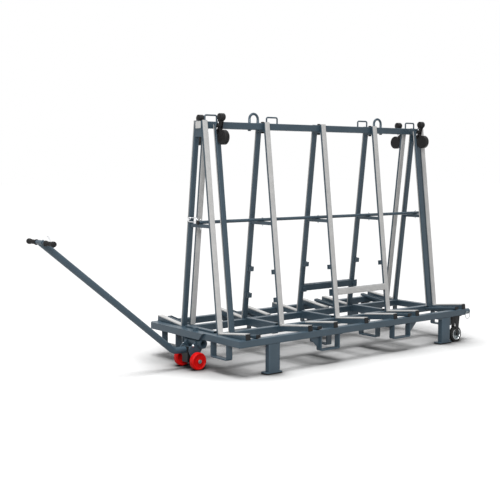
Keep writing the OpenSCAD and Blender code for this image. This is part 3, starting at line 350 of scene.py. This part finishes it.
# Thickness of a ratchet handle's arms, and where the outer faces of its two arms lie
ARM_T = 0.0030
ARM_OUT = 0.0204
# Half the length of a ratchet handle's grip
GRIP_HALF = 0.0240


def add_spool_rivets(key, spool):
    """Bare domed rivets on both ends of a ratchet's spool."""
    low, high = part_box(f"ratchet_frame_{key}")
    sunk = 0.0008
    rivets = Builder()
    for side, edge in ((-1, low[0]), (1, high[0])):
        place = Matrix.Translation((edge - side * sunk, spool.y, spool.z))
        rivets.turned(place @ Matrix.Rotation(math.radians(90 * side), 4, "Y"), DOME, 24)
    finish_piece(f"spool_rivets_{key}", rivets.mesh(f"spool_rivets_{key}"), f"clamp_{key}", "bright_steel")


def ridged_grip():
    """The profile of a ratchet handle's grip, with seven ridges."""
    profile = [(0.0, -GRIP_HALF), (0.0190, -GRIP_HALF), (0.0235, -0.0215)]
    for i in range(7):
        middle = -0.0180 + 0.0060 * i
        profile += [(0.0262, middle - 0.0020), (0.0272, middle), (0.0262, middle + 0.0020),
                    (0.0250, middle + 0.0030)]
    profile[-1] = (0.0235, 0.0215)
    return profile + [(0.0190, GRIP_HALF), (0.0, GRIP_HALF)]


def add_ratchet_handle(key, place, reach):
    """A ratchet's handle: two arms, a web between them and a grip across their ends. place has its
    origin in the spool, with Z along the arms."""
    arm = [(-0.0144, 0.0), (-0.010, -0.0102), (0.0, -0.0144), (0.010, -0.0102), (0.0144, 0.0),
           (0.0110, 0.35 * reach), (0.0090, 0.92 * reach), (-0.0090, 0.92 * reach), (-0.0110, 0.35 * reach)]
    web = ARM_OUT - ARM_T
    flat = place @ Matrix.Rotation(math.radians(90), 4, "Z")
    handle = Builder()
    for edge in (-ARM_OUT, web):
        handle.plate(flat, arm, edge, edge + ARM_T)
    handle.boxed(place, (-web, -0.0045, 0.20 * reach), (web, 0.0045, 0.90 * reach))
    across = Matrix.Translation((0.0, 0.0, reach)) @ Matrix.Rotation(math.radians(90), 4, "Y")
    handle.turned(place @ across, ridged_grip())
    thing = finish_piece(f"lever_{key}", handle.mesh(f"lever_{key}"), f"handle_{key}", "black_plastic")
    add_edges(thing, 0.0006)
    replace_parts(thing, f"ratchet_handle_{key}")


def add_pawl_pins(key, place, reach):
    """The domed ends of the pawl's pin, outside the handle's two arms."""
    pins = Builder()
    for turn in (-90, 90):
        pins.turned(place @ Matrix.Translation((0.0, 0.0, 0.52 * reach))
                    @ Matrix.Rotation(math.radians(turn), 4, "Y") @ Matrix.Translation((0.0, 0.0, 0.0200)),
                    DOME, 20)
    finish_piece(f"pawl_pins_{key}", pins.mesh(f"pawl_pins_{key}"), f"handle_{key}", "bright_steel")


def add_ratchets():
    """Finer handles on the four ratchets, with rivets on their spools and pins in their arms."""
    cad_grip_r = 0.024
    for key in ("fl", "fr", "bl", "br"):
        spool = Vector(JOINTS[f"handle_{key}_swing"]["pos_m"])
        add_spool_rivets(key, spool)
        low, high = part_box(f"ratchet_handle_{key}")
        outward, end = (-1, low[1]) if key[0] == "f" else (1, high[1])
        grip = Vector((spool.x, end - outward * cad_grip_r, high[2] - cad_grip_r))
        up, side = (grip - spool).normalized(), Vector((1.0, 0.0, 0.0))
        place = Matrix.Translation(spool) @ Matrix((side, up.cross(side), up)).transposed().to_4x4()
        reach = (grip - spool).length
        add_ratchet_handle(key, place, reach)
        add_pawl_pins(key, place, reach)


def trim_eyes():
    """The lifting eyes, cut off inside the top rail, with a flat nut on a washer under it at each leg."""
    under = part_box("top_rail")[0][2]
    made = bmesh.new()
    made.from_mesh(nodes["lifting_eyes"].data)
    bmesh.ops.remove_doubles(made, verts=made.verts, dist=1e-5)
    cut = bmesh.ops.bisect_plane(made, geom=made.verts[:] + made.edges[:] + made.faces[:], dist=1e-6,
                                 plane_co=(0.0, 0.0, under + 0.004), plane_no=(0.0, 0.0, -1.0),
                                 clear_outer=True)
    loops = [item for item in cut["geom_cut"] if isinstance(item, bmesh.types.BMVert)]
    mesh = bpy.data.meshes.new("trimmed_eyes")
    # The cut points of one leg lie nearer to each other along the cart than those of two legs
    legs = []
    for x in sorted({round(vert.co.x, 3) for vert in loops}):
        if legs and x - legs[-1][-1] < 0.012:
            legs[-1].append(x)
        else:
            legs.append([x])
    made.to_mesh(mesh)
    made.free()
    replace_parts(finish_piece("trimmed_eyes", mesh, "rack", "frame_paint"), "lifting_eyes")
    nut_r, nut_low, washer_r, washer_low = 0.0125, -0.0095, 0.0165, -0.0018
    nuts = Builder()
    for leg in legs:
        place = Matrix.Translation(((leg[0] + leg[-1]) / 2, 0.0, under))
        nuts.turned(place, [(0.0, nut_low), (nut_r - 0.001, nut_low), (nut_r, nut_low + 0.001),
                            (nut_r, washer_low), (0.0, washer_low)], 6)
        nuts.turned(place, [(0.0, washer_low), (washer_r, washer_low), (washer_r, 0.0), (0.0, 0.0)], 32)
    thing = finish_piece("eye_nuts", nuts.mesh("eye_nuts"), "rack", "frame_paint")
    add_edges(thing, 0.0005)


# Small pieces on the CAD ones

def add_rim_trim():
    """A bright rolled edge on both sides of each fixed wheel's rim."""
    for word in ("front", "back"):
        low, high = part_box(f"caster_rim_{word}")
        x, z, rim = (low[0] + high[0]) / 2, (low[2] + high[2]) / 2, (high[0] - low[0]) / 2
        edge_r, wire = 0.95 * rim, 0.0022
        build = Builder()
        for y in (low[1], high[1]):
            path = upright_ring(Vector((x, y, z)), edge_r, 48)
            build.swept(path, [wire] * len(path), 8)
        finish_piece(f"rim_edges_{word}", build.mesh(f"rim_edges_{word}"), f"caster_{word}", "bright_steel")


def add_dolly_bracket():
    """The welded bracket that carries the axle under the drawbar's end, and a bolt in each side plate."""
    eye = Vector(JOINTS["dolly_front_turn"]["pos_m"])
    place = Matrix.Translation((eye.x, 0.0, eye.z))
    bracket = Builder()
    bracket.boxed(place, (-0.046, -0.034, -0.016), (-0.040, 0.034, 0.100))
    outline = [(-0.041, -0.014), (-0.014, -0.018), (0.008, -0.018), (0.017, -0.008), (0.018, 0.006),
               (0.006, 0.030), (-0.006, 0.100), (-0.041, 0.100)]
    cheek_out, half_t = 0.031, 0.003
    for side in (-1, 1):
        bracket.plate(place, outline, side * cheek_out - half_t, side * cheek_out + half_t)
    bracket.boxed(place, (-0.040, -0.028, 0.030), (-0.004, 0.028, 0.036))
    # Painted shade: black paint here stands in for the shade that falls on the bracket between the wheels.
    thing = finish_piece("axle_bracket_painted_shade", bracket.mesh("axle_bracket_painted_shade"), "lever", "black_paint")
    add_edges(thing, 0.0015)
    bolt_x, bolt_y, bolt_z = eye.x - 0.011, 0.0588, eye.z + 0.1065
    bolt = Builder()
    for side in (-1, 1):
        head = (Matrix.Translation((bolt_x, side * bolt_y, bolt_z))
                @ Matrix.Rotation(math.radians(-90 * side), 4, "X"))
        bolt.turned(head, [(0.0115, 0.0), (0.0115, 0.0014), (0.0105, 0.0018), (0.0, 0.0018)], 32)
        bolt.turned(head, [(0.0088, 0.0018), (0.0088, 0.0070), (0.0078, 0.0078), (0.0, 0.0078)], 6)
    thing = finish_piece("lever_bolts", bolt.mesh("lever_bolts"), "lever", "bright_steel")
    add_edges(thing, 0.0004)


def add_link():
    """A bare link on a bolt in the first back post, that lies on the left end of the long tie rod."""
    low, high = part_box("tie_rod")
    x, z = low[0] - 0.0035, high[2] + 0.004
    ends, half, wire = (0.030, 0.112), 0.0150, 0.0036
    arc = [(half * math.sin(math.pi * k / 12), half * math.cos(math.pi * k / 12)) for k in range(13)]
    path = [Vector((x, ends[1] + out, z + up)) for out, up in arc]
    path += [Vector((x, ends[0] - out, z - up)) for out, up in arc]
    path.append(path[0])
    build = Builder()
    build.swept(path, [wire] * len(path), 12)
    bolt = Matrix.Translation((low[0] + 0.002, ends[1], z)) @ Matrix.Rotation(math.radians(-90), 4, "Y")
    build.turned(bolt, [(0.0060, 0.0), (0.0060, 0.0090), (0.0, 0.0090)], 24)
    build.turned(bolt, [(0.0105, 0.0090), (0.0105, 0.0150), (0.0, 0.0150)], 6)
    finish_piece("tie_link", build.mesh("tie_link"), "rack", "bright_steel")


def add_bead(build, points, width):
    """A fillet weld along points: a tube that swells and thins with each drop."""
    path = []
    for start, end in zip(points, points[1:]):
        count = max(2, round((end - start).length / (0.9 * width)))
        path += [start.lerp(end, k / count) for k in range(count)]
    path.append(points[-1])
    radii = [width / 2 * (1.0 + 0.22 * math.sin(2.1 * k)) for k in range(len(path))]
    radii[0] = radii[-1] = width / 8
    build.swept(path, radii, 6)


def footprints(name, height):
    """The rectangles (low x, low y, high x, high y) of a node's loose parts where they stand on a level."""
    made = bmesh.new()
    made.from_mesh(nodes[name].data)
    bmesh.ops.remove_doubles(made, verts=made.verts, dist=1e-5)
    left = set(made.verts)
    found = []
    while left:
        island, edge = set(), [left.pop()]
        while edge:
            vert = edge.pop()
            island.add(vert)
            for link in vert.link_edges:
                other = link.other_vert(vert)
                if other in left:
                    left.remove(other)
                    edge.append(other)
        near = [vert.co for vert in island if abs(vert.co.z - height) < 0.0015]
        if len(near) > 3:
            found.append((min(co.x for co in near), min(co.y for co in near),
                          max(co.x for co in near), max(co.y for co in near)))
    made.free()
    return sorted(found)


def add_welds():
    """Fillet welds round the feet of the posts and the tops of the legs."""
    # No bead goes along a side that lies flush with the base's outer faces
    width, away, flush = 0.0055, 0.0012, HALF_W - 0.004
    build = Builder()
    for name, height, turn in (("front_posts", RAIL_TOP, 1), ("back_posts", RAIL_TOP, 1),
                               ("legs", RAIL_Z, -1)):
        for x0, y0, x1, y1 in footprints(name, height):
            z = height + turn * away
            for start, end in (((x0, y0), (x1, y0)), ((x0, y1), (x1, y1)),
                               ((x0, y0), (x0, y1)), ((x1, y0), (x1, y1))):
                if abs(start[1]) > flush and abs(end[1]) > flush:
                    continue
                add_bead(build, [Vector((*start, z)), Vector((*end, z))], width)
    finish_piece("welds", build.mesh("welds"), "rack", "frame_paint")


# Camera, floor and light

# The camera's place: along the cart from the base's left end, across from its middle line, over the floor
CAMERA_ALONG = -3.9256
CAMERA_ACROSS = -5.5788
CAMERA_UP = 1.45
# Its direction, in radians, and its lens in millimetres
CAMERA_YAW = 0.8969
CAMERA_DOWN = 0.0877
CAMERA_LENS = 68.63


def place_camera():
    data = bpy.data.cameras.new("camera")
    camera = bpy.data.objects.new("camera", data)
    bpy.context.collection.objects.link(camera)
    camera.location = (base_left + CAMERA_ALONG, CAMERA_ACROSS, CAMERA_UP)
    ahead = Vector((math.cos(CAMERA_DOWN) * math.cos(CAMERA_YAW),
                    math.cos(CAMERA_DOWN) * math.sin(CAMERA_YAW), -math.sin(CAMERA_DOWN)))
    camera.rotation_euler = ahead.to_track_quat("-Z", "Y").to_euler()
    data.lens = CAMERA_LENS
    data.sensor_width = 36.0
    data.clip_end = 200.0
    bpy.context.scene.camera = camera


def combine(tree, operation, first, second):
    """The output of a math node over two linked values."""
    made = tree.nodes.new("ShaderNodeMath")
    made.operation = operation
    tree.links.new(first, made.inputs[0])
    tree.links.new(second, made.inputs[1])
    return made.outputs[0]


def show_by_ray(tree, shown, lit, surface):
    """Sends shown to rays from the camera and to reflected or refracted ones, and lit to all others."""
    path = tree.nodes.new("ShaderNodeLightPath")
    seen = path.outputs["Is Camera Ray"]
    for name in ("Is Glossy Ray", "Is Transmission Ray"):
        seen = combine(tree, "MAXIMUM", seen, path.outputs[name])
    mix = tree.nodes.new("ShaderNodeMixShader")
    tree.links.new(seen, mix.inputs[0])
    tree.links.new(lit.outputs[0], mix.inputs[1])
    tree.links.new(shown.outputs[0], mix.inputs[2])
    tree.links.new(mix.outputs[0], surface)


def openness(tree, samples, distance):
    """How open the surface lies within a distance: 1 in the open, 0 in a closed corner."""
    made = tree.nodes.new("ShaderNodeAmbientOcclusion")
    made.samples = samples
    made.inputs["Distance"].default_value = distance
    return made.outputs["AO"]


def make_floor():
    """A pale floor whose edges are far away. It shows white where no shadow falls, and its colour is darkened
    close under the cart and round what stands on it, which is painted shade. It throws less light back than it
    shows."""
    mesh = bpy.data.meshes.new("floor")
    reach = 60.0
    mesh.from_pydata([(-reach, -reach, 0.0), (reach, -reach, 0.0), (reach, reach, 0.0), (-reach, reach, 0.0)],
                     [], [(0, 1, 2, 3)])
    floor = bpy.data.objects.new("floor", mesh)
    bpy.context.collection.objects.link(floor)
    mat, tree, shader = new_material("white_floor_painted_shade")
    # Painted shade: the floor's colour goes dark where it lies closed in, wide under the cart and tight round the
    # feet and wheels.
    painted_deep_shade = tree.nodes.new("ShaderNodeMath")
    painted_deep_shade.operation = "POWER"
    painted_deep_shade.inputs[1].default_value = 2.2
    tree.links.new(openness(tree, 24, 0.45), painted_deep_shade.inputs[0])
    both = combine(tree, "MULTIPLY", painted_deep_shade.outputs[0], openness(tree, 16, 0.10))
    pale = ramp(tree, both, [(0.0, grey(0.0)), (1.0, grey(0.98))])
    tree.links.new(pale.outputs["Color"], shader.inputs["Base Color"])
    shader.inputs["Roughness"].default_value = 1.0
    shader.inputs["Specular IOR Level"].default_value = 0.0
    dim = tree.nodes.new("ShaderNodeBsdfDiffuse")
    dim.inputs["Color"].default_value = grey(0.36)
    show_by_ray(tree, shader, dim, tree.nodes["Material Output"].inputs["Surface"])
    floor.data.materials.append(mat)


def make_world():
    """White where it shows, and a weak even fill on everything else."""
    world = bpy.data.worlds.new("studio")
    bpy.context.scene.world = world
    world.use_nodes = True
    tree = world.node_tree
    seen = tree.nodes["Background"]
    seen.inputs["Color"].default_value = grey(1.0)
    seen.inputs["Strength"].default_value = 1.0
    fill = tree.nodes.new("ShaderNodeBackground")
    fill.inputs["Color"].default_value = grey(1.0)
    fill.inputs["Strength"].default_value = 0.17
    show_by_ray(tree, seen, fill, tree.nodes["World Output"].inputs["Surface"])


def add_light(name, kind, place, target, power, size):
    """A lamp aimed at target. size is a sun's angle or an area's side."""
    data = bpy.data.lights.new(name, kind)
    data.energy = power
    if kind == "AREA":
        data.shape = "SQUARE"
        data.size = size
    else:
        data.angle = size
    light = bpy.data.objects.new(name, data)
    bpy.context.collection.objects.link(light)
    light.location = place
    light.rotation_euler = (Vector(target) - Vector(place)).to_track_quat("-Z", "Y").to_euler()


# The scene

dress_frame()
for name, width in EDGES.items():
    soften(name, width)
add_grips()
split_bolts()
add_ratchets()
trim_eyes()
add_lynch_ring()
add_rim_trim()
add_dolly_bracket()
add_link()
add_welds()
place_camera()
make_floor()
make_world()
add_light("overhead", "SUN", (-1.0, -0.7, 6.0), (0.0, 0.0, 0.0), 2.9, math.radians(28.0))
add_light("key", "AREA", (-4.2, -4.6, 3.4), (0.3, 0.0, 0.8), 205.0, 2.5)
bpy.context.scene.view_settings.view_transform = "Standard"
